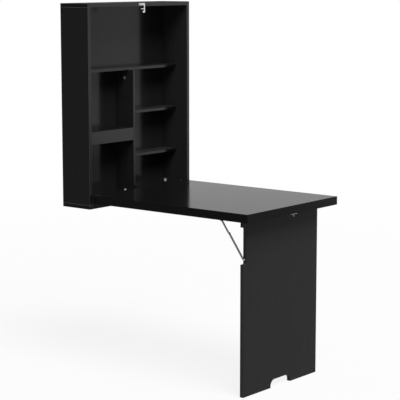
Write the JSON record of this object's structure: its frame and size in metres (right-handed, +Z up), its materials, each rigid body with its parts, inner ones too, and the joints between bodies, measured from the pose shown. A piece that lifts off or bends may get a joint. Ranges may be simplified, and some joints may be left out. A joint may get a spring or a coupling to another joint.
{
  "type": "wall-mounted folding desk with a shelf cabinet",
  "caption": "Black wall-hung folding desk: a shallow shelf cabinet with a drop-down tabletop, carried by one broad fold-under leg panel with a folding metal stay.",
  "frame": {"origin": "the middle of the four wall screw holes, on the wall's surface; the floor is 1.104 m below it", "axes": "+X to the right for a person facing the desk, +Y into the wall, +Z up"},
  "size_m": [0.648, 0.951, 1.525],
  "materials": {
    "black_board": "black melamine foil on particle board, satin with a soft reflection",
    "raw_board": "raw board, hidden",
    "beech": "plain beech, hidden",
    "zinc": "die-cast zinc, bare",
    "light_metal": "bright nickel plate",
    "steel": "zinc-plated steel"
  },
  "bodies": {
    "cabinet": {"cabinet_left_side": "black_board", "cabinet_right_side": "black_board", "cabinet_top_panel": "black_board", "cabinet_bottom_panel": "black_board", "cabinet_back_panel": "black_board", "upper_hanging_rail": "raw_board", "lower_hanging_rail": "raw_board", "hanging_rail_dowels": "beech", "divider_panel": "black_board", "upper_shelf": "black_board", "right_upper_shelf": "black_board", "right_lower_shelf": "black_board", "left_shelf": "black_board", "left_shelf_apron": "black_board", "shelf_dowels": "beech", "apron_dowels": "beech", "cabinet_cam_locks": "zinc", "cabinet_cam_bolts": "zinc", "cabinet_dowels": "beech", "divider_cam_locks": "zinc", "divider_cam_bolts": "zinc", "cabinet_top_screws": "steel", "top_hinge_cabinet_leaves": "steel", "top_hinge_cabinet_screws": "steel", "top_hinge_pins": "steel", "latch_screw": "light_metal", "latch_washer": "light_metal"},
    "tabletop": {"tabletop_upper_skin": "black_board", "tabletop_lower_skin": "black_board", "tabletop_side_rails": "black_board", "tabletop_inner_rail": "black_board", "tabletop_outer_rail": "black_board", "tabletop_core": "raw_board", "top_hinge_tabletop_leaves": "steel", "top_hinge_tabletop_screws": "steel", "leg_hinge_tabletop_leaves": "steel", "leg_hinge_tabletop_screws": "steel", "leg_hinge_pins": "steel", "stay_bracket": "steel", "stay_bracket_screws": "steel", "stay_bracket_rivet": "steel", "keeper_plate": "light_metal", "keeper_screws": "light_metal", "keeper_stud": "light_metal"},
    "leg": {"leg_panel": "black_board", "leg_hinge_leg_leaves": "steel", "leg_hinge_leg_screws": "steel", "stay_leg_screw": "steel", "stay_leg_spacer": "steel"},
    "stay_upper": {"stay_upper_link": "steel", "stay_knee_outer_rivet": "steel"},
    "stay_lower": {"stay_lower_link": "steel", "stay_knee_inner_rivet": "steel"},
    "latch": {"latch_hook": "light_metal"}
  },
  "joints": [
    {"name": "tabletop_fold", "type": "hinge", "parent": "cabinet", "child": "tabletop", "pos_m": [0, -0.1536, -0.4015], "axis": [-1, 0, 0], "range_deg": [0, 90]},
    {"name": "leg_fold", "type": "hinge", "parent": "tabletop", "child": "leg", "pos_m": [0, -0.872, -0.401], "axis": [1, 0, 0], "range_deg": [0, 90]},
    {"name": "stay_upper_pivot", "type": "hinge", "parent": "tabletop", "child": "stay_upper", "pos_m": [-0.2458, -0.777, -0.408], "axis": [-1, 0, 0], "range_deg": [0, 50.64]},
    {"name": "stay_lower_pivot", "type": "hinge", "parent": "leg", "child": "stay_lower", "pos_m": [-0.2402, -0.883, -0.556], "axis": [1, 0, 0], "range_deg": [0, 35.62]},
    {"name": "latch_swing", "type": "hinge", "parent": "cabinet", "child": "latch", "pos_m": [-0.005, -0.1548, 0.4135], "axis": [0, -1, 0], "range_deg": [0, 90]}
  ],
  "couplings": [
    {"joint": "stay_upper_pivot", "follows": "leg_fold", "ratio": 0.56261},
    {"joint": "stay_lower_pivot", "follows": "leg_fold", "ratio": 0.39568}
  ]
}
